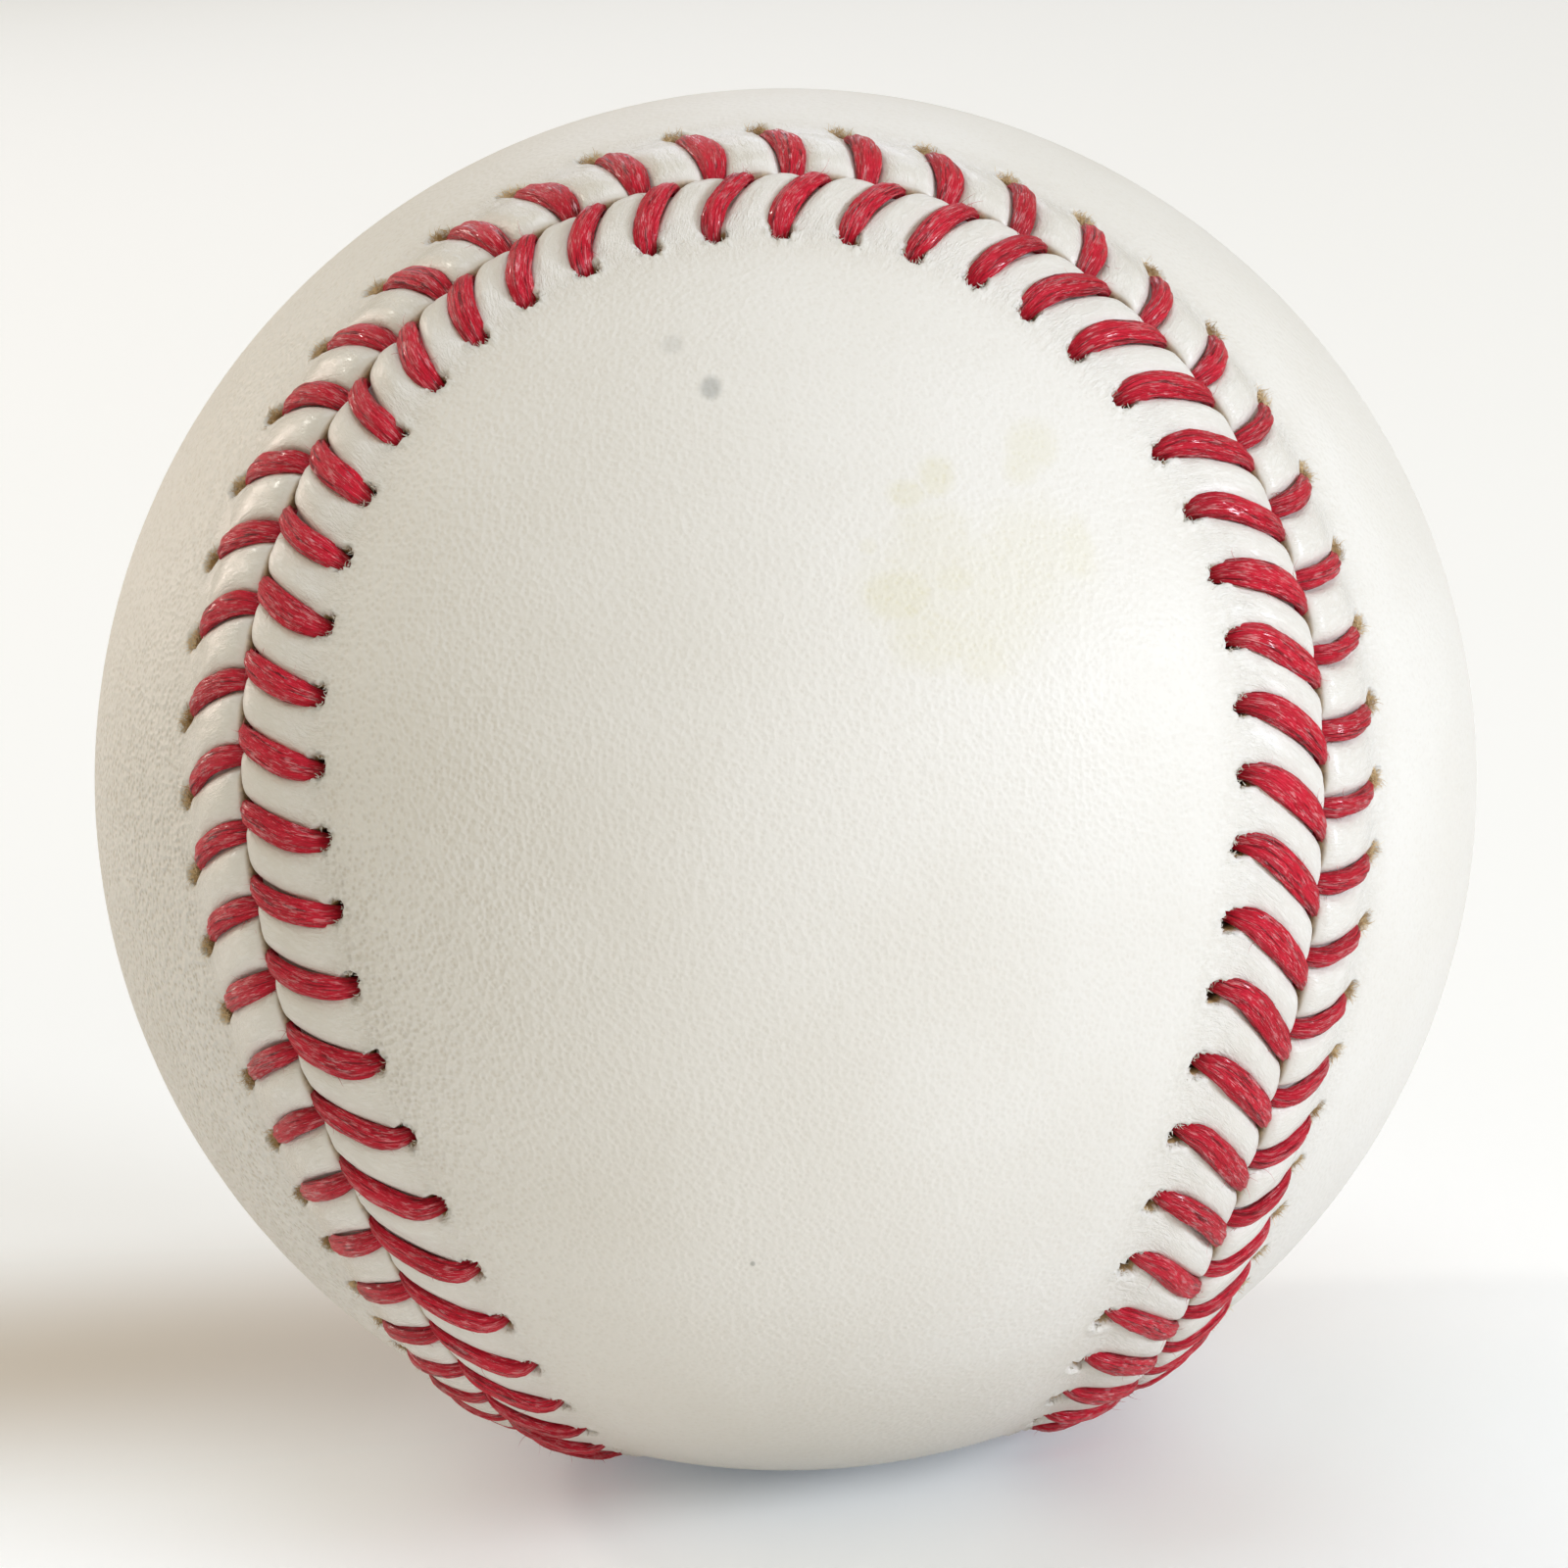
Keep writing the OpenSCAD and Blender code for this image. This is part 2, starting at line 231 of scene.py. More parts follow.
# %% Wrap sockets in a class
class Wire:
    """One output socket of a node tree, on which Python's operators work."""

    def __init__(self, tree, node=None, out=0):
        self.tree = tree
        self.node = node
        self.socket = node.outputs[out] if node and len(node.outputs) else None

    def add(self, kind, settings=None, sockets=None, out=0):
        """Add any node: its settings first, then the values or wires of its sockets."""
        node = self.tree.nodes.new(kind)
        for name, value in (settings or {}).items():
            setattr(node, name, value)
        for key, value in (sockets or {}).items():
            if isinstance(value, Wire):
                self.tree.links.new(value.socket, node.inputs[key])
            else:
                node.inputs[key].default_value = value
        return Wire(self.tree, node, out)

    def pick(self, out):
        """Another output of the same node."""
        return Wire(self.tree, self.node, out)

    def math(self, operation, *values):
        """Any operation on numbers."""
        return self.add("ShaderNodeMath", {"operation": operation}, dict(enumerate(values)))

    def __add__(self, other):
        return self.math("ADD", self, other)

    def __radd__(self, other):
        return self.math("ADD", other, self)

    def __sub__(self, other):
        return self.math("SUBTRACT", self, other)

    def __rsub__(self, other):
        return self.math("SUBTRACT", other, self)

    def __mul__(self, other):
        return self.math("MULTIPLY", self, other)

    def __truediv__(self, other):
        return self.math("DIVIDE", self, other)

    def __pow__(self, other):
        return self.math("POWER", self, other)

    def __abs__(self):
        return self.math("ABSOLUTE", self)

    def step(self, low, high):
        """Nought up to low, one from high, and smooth between."""
        return self.add("ShaderNodeMapRange", {"interpolation_type": "SMOOTHSTEP"},
                        {"Value": self, "From Min": low, "From Max": high})

    def vector(self, operation, *values, out=0):
        """Any operation on vectors."""
        return self.add("ShaderNodeVectorMath", {"operation": operation},
                        dict(enumerate(values)), out)

    def scale(self, factor):
        """A vector made longer or shorter."""
        return self.add("ShaderNodeVectorMath", {"operation": "SCALE"},
                        {0: self, "Scale": factor})

    def blend(self, first, second):
        """Two colours mixed, with this socket as the share of the second."""
        return self.add("ShaderNodeMix", {"data_type": "RGBA"}, {0: self, 6: first, 7: second}, 2)

    def noise(self, place, scale, detail=2, roughness=0.5):
        """Noise read at a place, near a half on average."""
        return self.add("ShaderNodeTexNoise", None, {
            "Vector": place, "Scale": scale, "Detail": detail, "Roughness": roughness})


# %% [markdown]
# ## Geometry Nodes, from tree to mesh
# Geometry Nodes make what repeats: each tree has named inputs for its sizes. Two
# helpers start a tree and turn its result into a plain mesh, because finished pieces
# carry no modifier.

# %% Start and apply a tree
def geometry_tree(name, inputs):
    """A tree with a geometry input and named number inputs, as a wire on its input node."""
    tree = bpy.data.node_groups.new(name, "GeometryNodeTree")
    tree.interface.new_socket("Geometry", in_out="INPUT", socket_type="NodeSocketGeometry")
    for label, value in inputs.items():
        socket = tree.interface.new_socket(label, in_out="INPUT", socket_type="NodeSocketFloat")
        socket.default_value = value
    tree.interface.new_socket("Geometry", in_out="OUTPUT", socket_type="NodeSocketGeometry")
    return Wire(tree, tree.nodes.new("NodeGroupInput"))


def end_tree(geometry, finish):
    """Realise, set the material and join the result to the tree's output."""
    real = geometry.add("GeometryNodeRealizeInstances", None, {"Geometry": geometry})
    done = real.add("GeometryNodeSetMaterial", None, {"Geometry": real, "Material": finish})
    done.add("NodeGroupOutput", None, {"Geometry": done})


def grow(base, tree, sizes, name):
    """Run a tree on a base object and keep the result as one plain mesh object."""
    modifier = base.modifiers.new(name, "NODES")
    modifier.node_group = tree
    for item in tree.interface.items_tree:
        if item.in_out == "INPUT" and item.name in sizes:
            modifier[item.identifier] = sizes[item.name]
    graph = bpy.context.evaluated_depsgraph_get()
    mesh = bpy.data.meshes.new_from_object(
        base.evaluated_get(graph), preserve_all_data_layers=True, depsgraph=graph)
    mesh.name = name
    base.modifiers.remove(modifier)
    bpy.data.objects.remove(base)
    piece = bpy.data.objects.new(name, mesh)
    bpy.context.scene.collection.objects.link(piece)
    mesh.shade_smooth()
    print(name, len(mesh.vertices), "points,", len(mesh.polygons), "faces")
    return piece


def base_object(name, points, edges, faces, numbers, vectors):
    """A mesh with a named number or vector on each of its points."""
    mesh = bpy.data.meshes.new(name)
    mesh.from_pydata(np.asarray(points).tolist(), edges, faces)
    for label, values in numbers.items():
        layer = mesh.attributes.new(label, "FLOAT", "POINT")
        layer.data.foreach_set("value", np.asarray(values, np.float32).ravel())
    for label, values in vectors.items():
        layer = mesh.attributes.new(label, "FLOAT_VECTOR", "POINT")
        layer.data.foreach_set("vector", np.asarray(values, np.float32).ravel())
    thing = bpy.data.objects.new(name, mesh)
    bpy.context.scene.collection.objects.link(thing)
    return thing


def named(wire, label, kind="FLOAT"):
    """A number or vector that the points carry, inside a geometry tree."""
    return wire.add("GeometryNodeInputNamedAttribute", {"data_type": kind}, {"Name": label})


# %% [markdown]
# ## The section of the laced edge
# A panel's edge starts at the foot of the groove, rises as a cut wall, rolls over a
# crest and falls to the holes. Between two stitches it swells into a pillow, and under
# a stitch the thread presses it into a valley. Each row gives a distance from the seam,
# the pillow's height and the valley's height. The front panel laps over the groove a
# little, and the side panel shows its cut edge.

# %% List the rows
LEATHER_T = 1.3
front_wall = [
    (0.42, -1.30, -1.30), (0.38, -0.95, -1.02), (0.26, -0.55, -0.75), (0.13, -0.20, -0.55),
    (0.06, 0.08, -0.40), (0.07, 0.28, -0.30), (0.16, 0.44, -0.24), (0.33, 0.555, -0.18),
]
side_wall = [
    (0.42, -1.30, -1.30), (0.38, -0.95, -1.02), (0.31, -0.60, -0.78), (0.24, -0.25, -0.58),
    (0.19, 0.04, -0.45), (0.20, 0.25, -0.35), (0.28, 0.40, -0.27), (0.42, 0.50, -0.20),
]
crest = [
    (0.60, 0.61, -0.12), (0.82, 0.665, -0.08), (1.08, 0.695, -0.05), (1.40, 0.705, -0.02),
    (1.74, 0.70, 0.00), (2.08, 0.685, 0.02), (2.43, 0.655, 0.03), (2.78, 0.605, 0.04),
    (3.10, 0.54, 0.05), (3.40, 0.465, 0.05), (3.70, 0.38, 0.04), (3.95, 0.31, 0.03),
    (4.20, 0.245, 0.02), (4.40, 0.195, 0.00), (4.60, 0.155, -0.02), (4.80, 0.12, -0.03),
    (5.00, 0.093, -0.04), (5.20, 0.07, -0.04), (5.40, 0.052, -0.03), (5.60, 0.04, -0.02),
    (5.80, 0.03, -0.01), (6.00, 0.022, 0.0), (6.25, 0.015, 0.0), (6.55, 0.008, 0.0),
    (7.00, 0.003, 0.0), (7.60, 0.0, 0.0), (8.40, 0.0, 0.0),
]
half_columns = [0.22, 0.44, 0.62, 0.76, 0.88, 1.02, 1.18, 1.38, 1.62]
columns = np.array([-PITCH / 2] + [-c for c in half_columns[::-1]] + [0] + half_columns)
COLUMNS = len(columns)
LOOP = COLUMNS * STITCHES
HALF_ROW, QUARTER_ROW = 9.1, 9.9
INNER_HALF_ROW, INNER_QUARTER_ROW = 1.2, 2.4
ARC_PARTS = 20
FAR_OFFSET = 20
print(len(crest) + len(front_wall), "rows by", LOOP, "columns on each panel")


# %% [markdown]
# ## Weaving a panel's mesh
# Near the seam the mesh is a fine grid that follows the stitches, so that every pillow
# and hole gets the same points. Away from it the leather is plain, and a coarse net is
# enough: two rows halve the number of columns, and arcs then join each point to the
# one that mirrors it across the panel. An inner skin closes the leather below.

# %% Build the net of one panel
def panel_net(side, wall):
    """Points, faces and the numbers that the edge's tree needs, for one panel."""
    points = []
    facts = []
    faces = []
    stitch_of = np.repeat(np.arange(STITCHES), COLUMNS)
    phase_of = np.tile(columns, STITCHES)

    def loop(offset, pillow, valley, every):
        """One ring of points round the panel, and the first one's number."""
        chosen = np.arange(0, LOOP, every)
        place = stitch_of[chosen] * PITCH + phase_of[chosen]
        dirs = laid(side, place, offset)
        first = sum(len(p) for p in points)
        points.append(dirs)
        facts.append(np.stack([
            place, phase_of[chosen], np.full(len(chosen), offset),
            np.full(len(chosen), pillow), np.full(len(chosen), valley), stitch_of[chosen],
        ], axis=1))
        return first, len(chosen)

    def face(*corners, inward=False):
        faces.append(corners[::-1] if (side == SIDE) != inward else corners)

    def join(one, two, inward=False):
        """Faces between two rings, the second with as many points or half as many."""
        (a, count), (b, other) = one, two
        for i in range(other):
            n = (i + 1) % other
            if count == other:
                face(a + i, b + i, b + n, a + n, inward=inward)
            else:
                face(a + 2 * i, b + i, a + 2 * i + 1, inward=inward)
                face(a + 2 * i + 1, b + i, b + n, inward=inward)
                face(a + 2 * i + 1, b + n, a + (2 * i + 2) % count, inward=inward)

    def fill(ring, depth, inward=False):
        """Arcs from each point of a ring to its mirror across the panel."""
        first, count = ring
        quarter = count // 4
        rim = np.concatenate(points)[first:first + count]
        lines = []
        for i in range(-quarter, quarter + 1):
            left = i if side == FRONT else i + quarter
            right = 2 * quarter - left if side == FRONT else -left
            lines.append((left % count, right % count))
        rows = []
        for left, right in lines:
            if left == right:
                rows.append([first + left] * (ARC_PARTS + 1))
                continue
            p, q = rim[left], rim[right]
            angle = math.acos(np.clip(p @ q, -1, 1))
            shares = np.arange(1, ARC_PARTS) / ARC_PARTS
            arc = (np.sin((1 - shares) * angle)[:, None] * p + np.sin(shares * angle)[:, None] * q)
            start = sum(len(x) for x in points)
            points.append(arc / math.sin(angle))
            facts.append(np.tile([0, 0, FAR_OFFSET, depth, depth, 0], (ARC_PARTS - 1, 1)))
            between = list(range(start, start + ARC_PARTS - 1))
            rows.append([first + left] + between + [first + right])
        for here, there in zip(rows, rows[1:]):
            for i in range(ARC_PARTS):
                corners = [here[i], here[i + 1], there[i + 1], there[i]]
                corners = list(dict.fromkeys(corners))
                if len(corners) > 2:
                    face(*corners, inward=inward)

    rings = [loop(*row, 1) for row in wall + crest]
    for one, two in zip(rings, rings[1:]):
        join(one, two)
    half = loop(HALF_ROW, 0, 0, 2)
    quarter_ring = loop(QUARTER_ROW, 0, 0, 4)
    join(rings[-1], half)
    join(half, quarter_ring)
    fill(quarter_ring, 0)
    inner_half = loop(INNER_HALF_ROW, -LEATHER_T, -LEATHER_T, 2)
    inner_quarter = loop(INNER_QUARTER_ROW, -LEATHER_T, -LEATHER_T, 4)
    join(rings[0], inner_half, inward=True)
    join(inner_half, inner_quarter, inward=True)
    fill(inner_quarter, -LEATHER_T, inward=True)
    return np.concatenate(points), np.concatenate(facts), faces


front_net = panel_net(FRONT, front_wall)
side_net = panel_net(SIDE, side_wall)
print("Front net:", len(front_net[0]), "points,", len(front_net[2]), "faces")

# %% Check that the nets face outward
for net in (front_net, side_net):
    corners = np.array([face[:3] for face in net[2]])
    radii = BALL_R + net[1][:, 3]
    at = net[0] * radii[:, None]
    normals = np.cross(at[corners[:, 1]] - at[corners[:, 0]], at[corners[:, 2]] - at[corners[:, 0]])
    facing = (normals * at[corners[:, 0]]).sum(axis=1)
    outer = net[1][corners, 3].min(axis=1) > -0.1
    inner = net[1][corners, 3].max(axis=1) < -1.25
    print("Outer faces out:", (facing[outer] > 0).mean(),
          " inner faces in:", (facing[inner] < 0).mean())

# %% [markdown]
# ## Leather
# Cowhide tanned white keeps its grain: a net of fine ridges round dents a third of a
# millimetre apart. The dents are tinted darker, partly in the hide's own colour and partly
# as painted shade. On the ball's left side, most below its middle, the grain's bump is
# deeper and the painted shade in the dents much darker, as light grazing the grain would
# show it. By the seam it is stretched smooth over the pillows and only long fine creases
# are left, with painted shade in them, and fine folds that fan out at the holes. Where it
# was cut or pierced its brown, fibrous inside shows, and deep in each pit painted shade
# darkens it. The pattern reads the piece's Object coordinates, and what follows the seam
# reads the numbers that the edge's tree leaves on the points.

# %% Start a material
def material(name):
    """An empty material, as a wire on its tree."""
    made = bpy.data.materials.new(name)
    made.use_nodes = True
    made.node_tree.nodes.clear()
    return made, Wire(made.node_tree)


def surface(wire, sockets):
    """End a material with the standard shader."""
    shader = wire.add("ShaderNodeBsdfPrincipled", None, sockets)
    shader.add("ShaderNodeOutputMaterial", None, {"Surface": shader})


def attribute(wire, label, out="Fac"):
    """A number or vector that the points carry, inside a material."""
    return wire.add("ShaderNodeAttribute", {"attribute_name": label}, out=out)


def bump(wire, height, depth):
    """Turn a height of nought to one into a bump of so many metres."""
    return wire.add("ShaderNodeBump", None, {"Height": height, "Distance": depth, "Strength": 1.0})


# %% Colours of the leather
IVORY = (0.80, 0.785, 0.75, 1)
BRIGHT = (0.83, 0.82, 0.795, 1)
DENT_AND_SHADE = (0.66, 0.62, 0.55, 1)
STAIN = (0.73, 0.70, 0.51, 1)
SMUDGE = (0.36, 0.37, 0.36, 1)
CUT_HIDE = (0.30, 0.18, 0.07, 1)
RAW_HIDE = (0.60, 0.44, 0.23, 1)
HOLE_SHADE = (0.05, 0.028, 0.014, 1)
LEATHER_BUMP = 0.00007
MARK_FADE = (0.45, 1.25)
stain_marks = [
    ((1000, 605), 112, 84, 0.40), ((1045, 570), 76, 60, 0.40), ((960, 545), 48, 42, 0.36),
    ((920, 607), 34, 27, 0.85), ((975, 592), 27, 18, 0.70), ((958, 652), 52, 38, 0.55),
    ((1000, 662), 34, 36, 0.52), ((1099, 562), 20, 38, 0.56), ((957, 488), 20, 24, 0.78),
    ((926, 505), 22, 15, 0.70), ((1052, 455), 30, 26, 0.55), ((1040, 478), 20, 20, 0.50),
    ((886, 558), 11, 10, 0.35),
]
smudge_marks = [((725, 396), 12, 14, 0.6), ((686, 352), 14, 12, 0.22), ((768, 1290), 3, 3, 0.7)]


def marks(wire, place, spots, ragged):
    """How strongly any of several soft marks covers a point of the ball's near half."""
    total = None
    for (x, y), wide, high, strength in spots:
        middle = on_ball(x, y) * MM
        away = place.vector("SUBTRACT", place, tuple(middle))
        sideways = away.vector("DOT_PRODUCT", away, tuple(RIGHT), out=1) * (PIXELS / wide)
        upward = away.vector("DOT_PRODUCT", away, tuple(UP), out=1) * (PIXELS / high)
        reach = (sideways * sideways + upward * upward) ** 0.5 + ragged
        mark = (1 - reach.step(*MARK_FADE)) * strength
        total = mark if total is None else total.math("MAXIMUM", total, mark)
    facing = place.vector("DOT_PRODUCT", place, tuple(TOWARD), out=1)
    return total * facing.step(0.0, 0.01)


PIXELS = FOCAL / (REACH - BALL_R) / MM
print("One millimetre at the ball's front is", round(PIXELS * MM, 1), "pixels")


# %% Mix the leather
def leather(name, shine, shade_from):
    """White hide: shine polishes its pillows; the last number is the pit depth from which painted
    shade darkens the holes.
    """
    made, wire = material(name)
    place = wire.add("ShaderNodeTexCoord", out="Object")
    offset = attribute(wire, "offset")
    pit = attribute(wire, "pit")
    puff = attribute(wire, "puff")
    cut = attribute(wire, "cut")
    seam_place = wire.add("ShaderNodeCombineXYZ", None, {
        0: attribute(wire, "place"), 1: offset * 0.4, 2: 0.0})

    grain = wire.add("ShaderNodeTexVoronoi", {"feature": "SMOOTH_F1"}, {
        "Vector": place, "Scale": 3200, "Smoothness": 0.45, "Randomness": 1.0}, out=0)
    swell = wire.noise(place, 1700, 2)
    patch = wire.noise(place, 90, 2)
    open_field = offset.step(3.9, 6.2)
    spot = place.add("ShaderNodeSeparateXYZ", None, {"Vector": place})
    # Left side of the ball: a deeper grain bump, and much darker painted shade in the dents
    left_grain_and_shade = (1 - spot.step(-0.030, -0.008)) * (1 - spot.pick(2).step(0.002, 0.016) * 0.6)
    grain_height = grain * (0.4 + swell * 0.8) * (0.1 + open_field * (0.45 + left_grain_and_shade * 3.2))
    near = (1 - offset.step(5.2, 8.0)) * offset.step(0.1, 0.6)
    fold = wire.noise(seam_place, 2.4, 4, 0.65)
    crease_and_shade = 1 - abs(fold - 0.5) * 9
    crease_and_shade = crease_and_shade.math("MAXIMUM", crease_and_shade, 0.0) * near
    pore = wire.noise(place, 7000, 1)
    at_hole = offset.step(2.9, 4.0) * (1 - offset.step(5.0, 6.2))
    fan_place = wire.add("ShaderNodeCombineXYZ", None, {
        0: attribute(wire, "place"), 1: offset * 0.3, 2: 1.0})
    fan = wire.noise(fan_place, 5.0, 2, 0.6)
    fan = 1 - abs(fan - 0.5) * 11
    fan = fan.math("MAXIMUM", fan, 0.0) * at_hole
    height = grain_height + (fold * near) * 0.4 - crease_and_shade * 0.25 + pore * 0.14 + fan * 0.2

    blotch = wire.noise(place, 260, 3)
    ragged = (blotch - 0.5) * 1.3
    tone = patch.step(0.3, 0.7).blend(IVORY, BRIGHT)
    # The dents are darkened partly in the hide's own colour, partly as painted shade
    dent_and_shade = 1 - (grain + (swell - 0.5) * 0.5).step(0.10, 0.46)
    dent_and_shade = dent_and_shade * (0.05 + open_field * (0.10 + left_grain_and_shade * 0.80))
    tone = dent_and_shade.blend(tone, DENT_AND_SHADE)
    # Painted shade darkens the long creases by the seam
    tone = (crease_and_shade * 0.25).blend(tone, DENT_AND_SHADE)
    tone = (fan * 0.6).blend(tone, BRIGHT)
    stain = marks(wire, place, stain_marks, ragged) * (0.5 + dent_and_shade * 1.6)
    tone = stain.blend(tone, STAIN)
    tone = marks(wire, place, smudge_marks, ragged * 0.35).blend(tone, SMUDGE)

    torn = wire.noise(place, 3000, 3, 0.6)
    fibre_tone = torn.step(0.35, 0.65).blend(CUT_HIDE, RAW_HIDE)
    tone = (cut * 0.9).blend(tone, fibre_tone)
    hole_edge = pit + (torn - 0.5) * 0.7
    tone = hole_edge.step(0.18, 0.38).blend(tone, fibre_tone)
    # Painted shade deep in each hole's pit
    tone = hole_edge.step(shade_from, shade_from + 0.35).blend(tone, HOLE_SHADE)

    rough = 0.47 - puff * shine * (1 - open_field) + cut * 0.3 + (blotch - 0.5) * 0.2
    polish = puff.step(0.5, 0.95) * (1 - open_field) * blotch.step(0.4, 0.6) * (shine * 1.6)
    surface(wire, {
        "Base Color": tone,
        "Roughness": rough,
        "IOR": 1.45,
        "Coat Weight": polish,
        "Coat Roughness": 0.2,
        "Normal": bump(wire, height, LEATHER_BUMP),
    })
    return made


front_leather = leather("front_leather", 0.15, 0.40)
side_leather = leather("side_leather", 0.24, 0.95)

# %% [markdown]
# ## Raising the laced edge
# The nets so far are only directions. The tree below gives each point its distance from
# the ball's centre: a pillow or a valley by how far the point is from the nearest leg,
# a ragged pit with a crumbling burr at each hole, and a little unevenness, since no two
# pillows are alike. It leaves the numbers that the leather's material reads.

# %% Build the edge's tree
front_edge = {
    "Thread half width": 0.58, "Pillow height": 1.0, "Hole centre": 5.02, "Hole lead": 0.22,
    "Hole half length": 0.62, "Hole half width": 0.66, "Hole depth": 1.15, "Unevenness": 0.05,
    "Burr": 0.16,
}
side_edge = {
    "Thread half width": 0.54, "Pillow height": 1.05, "Hole centre": 5.05, "Hole lead": -0.12,
    "Hole half length": 0.56, "Hole half width": 0.66, "Hole depth": 0.9, "Unevenness": 0.06,
    "Burr": 0.08,
}


def laced_edge(name, sizes, finish):
    """The tree that turns a net of directions into a panel with pillows and holes."""
    size = geometry_tree(name, sizes)
    phase, offset, place = named(size, "phase"), named(size, "offset"), named(size, "place")
    crest_lift, valley_lift = named(size, "pillow"), named(size, "valley")
    out = size.add("GeometryNodeInputPosition")
    half = size.pick("Thread half width")
    rest = 1 - (abs(phase) - half) / (PITCH / 2 - half)
    rest = rest.add("ShaderNodeClamp", None, {0: rest})
    puff = (1 - rest ** 2.8) ** 0.5
    own_place = size.add("ShaderNodeCombineXYZ", None, {0: named(size, "stitch") * 7.31})
    own = size.noise(own_place, 1.0, 0)
    height = size.pick("Pillow height") * (1 + (own - 0.5) * 0.5)
    lift = valley_lift + (crest_lift * height - valley_lift) * puff
    near = 1 - offset.step(4.5, 7.5)
    uneven = size.pick("Unevenness")
    lump = size.noise(out.scale(34), 1.0, 2)
    lift = lift + (lump - 0.5) * 2 * uneven * near
    ridge_place = size.add("ShaderNodeCombineXYZ", None, {0: place * 1.2, 1: offset * 0.55})
    ridge = size.noise(ridge_place, 1.0, 1)
    lift = lift + (ridge - 0.5) * 2 * uneven * puff * near
    lead = size.pick("Hole lead") * (offset - 4).math("MAXIMUM", offset - 4, 0.0)
    along = (phase - lead) / size.pick("Hole half length")
    across = (offset - size.pick("Hole centre")) / size.pick("Hole half width")
    rag = size.noise(out.scale(95), 1.0, 2, 0.7) - 0.5
    from_hole = (along * along + across * across) ** 0.5 + rag * 1.3
    pit = 1 - from_hole.step(0.7, 1.1)
    burr = from_hole.step(0.8, 1.15) * (1 - from_hole.step(1.2, 1.9)) * offset.step(4.2, 4.9)
    crumb = size.noise(out.scale(150), 1.0, 1, 0.6).step(0.4, 0.62)
    lift = lift - pit * size.pick("Hole depth") + burr * crumb * size.pick("Burr")
    cut = (1 - crest_lift.step(0.1, 0.42)) * (1 - offset.step(0.55, 0.75))
    geometry = size
    for label, value in {"pit": pit, "puff": puff, "cut": cut}.items():
        geometry = geometry.add("GeometryNodeStoreNamedAttribute", {"data_type": "FLOAT"}, {
            "Geometry": geometry, "Name": label, "Value": value})
    moved = geometry.add("GeometryNodeSetPosition", None, {
        "Geometry": geometry, "Position": out.scale((BALL_R + lift) * MM)})
    end_tree(moved, finish)
    return size.tree


# %% Raise both panels
def raise_panel(net, sizes, finish, name, node):
    """One finished panel in place of its CAD node."""
    dirs, facts, faces = net
    labels = ["place", "phase", "offset", "pillow", "valley", "stitch"]
    numbers = {label: facts[:, i] for i, label in enumerate(labels)}
    base = base_object(name + "_net", dirs, [], faces, numbers, {})
    panel = grow(base, laced_edge(name + "_edge", sizes, finish), sizes, name)
    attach(panel, "root")
    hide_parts(node)


raise_panel(front_net, front_edge, front_leather,
            "front_panel", "front_cover_panel")
raise_panel(side_net, side_edge, side_leather,
            "side_panel", "side_cover_panel")

# %% [markdown]
# ## Thread
# Red waxed cotton: several plies twisted together, pressed flat where they cross the
# leather. Each leg rises out of its hole, swells, and dives into the groove. The legs of
# the front panel end in a point that lies over the end of the opposite leg. One strand
# takes every second stitch on each side, and runs under the leather in between. A
# section's numbers are its offset from the seam, its lift, and its half width and half
# thickness.

# %% List a leg's sections
front_leg = [
    (4.85, -1.50, 0.36, 0.25), (4.87, -1.00, 0.40, 0.28), (4.80, -0.58, 0.44, 0.30),
    (4.64, -0.24, 0.50, 0.32), (4.42, 0.04, 0.56, 0.34), (4.15, 0.23, 0.61, 0.355),
    (3.84, 0.37, 0.64, 0.365), (3.45, 0.47, 0.66, 0.37), (3.05, 0.54, 0.67, 0.375),
    (2.62, 0.58, 0.67, 0.375), (2.20, 0.61, 0.66, 0.37), (1.80, 0.62, 0.65, 0.365),
    (1.40, 0.62, 0.63, 0.355), (1.05, 0.60, 0.61, 0.345), (0.75, 0.55, 0.57, 0.33),
    (0.48, 0.47, 0.53, 0.305), (0.22, 0.34, 0.48, 0.28), (0.00, 0.14, 0.42, 0.26),
    (-0.12, -0.15, 0.37, 0.25), (-0.15, -0.50, 0.36, 0.25), (-0.10, -1.00, 0.36, 0.25),
    (0.00, -1.50, 0.40, 0.22),
]
side_leg = [
    (4.95, -1.50, 0.34, 0.25), (4.92, -1.00, 0.34, 0.26), (4.80, -0.60, 0.36, 0.27),
    (4.60, -0.27, 0.40, 0.28), (4.34, 0.00, 0.45, 0.30), (4.05, 0.17, 0.50, 0.32),
    (3.74, 0.30, 0.54, 0.34), (3.38, 0.39, 0.57, 0.35), (2.98, 0.46, 0.59, 0.36),
    (2.56, 0.50, 0.60, 0.365), (2.14, 0.52, 0.60, 0.365), (1.75, 0.52, 0.60, 0.36),
    (1.35, 0.50, 0.59, 0.35), (1.02, 0.43, 0.57, 0.34), (0.75, 0.33, 0.55, 0.32),
    (0.48, 0.18, 0.52, 0.30), (0.25, -0.02, 0.48, 0.28), (0.08, -0.25, 0.45, 0.27),
    (0.00, -0.50, 0.42, 0.26), (0.00, -0.90, 0.40, 0.25), (0.00, -1.20, 0.40, 0.24),
    (0.00, -1.50, 0.40, 0.22),
]
UNDER = -1.53
UNDER_WIDE, UNDER_THICK = 0.40, 0.22
SWAY, SNAKE, LIFT_SPREAD, WIDTH_SPREAD = 0.08, 0.05, 0.03, 0.05
FIRST_SEED, SECOND_SEED = 5, 9
print(len(front_leg), "sections on each leg")


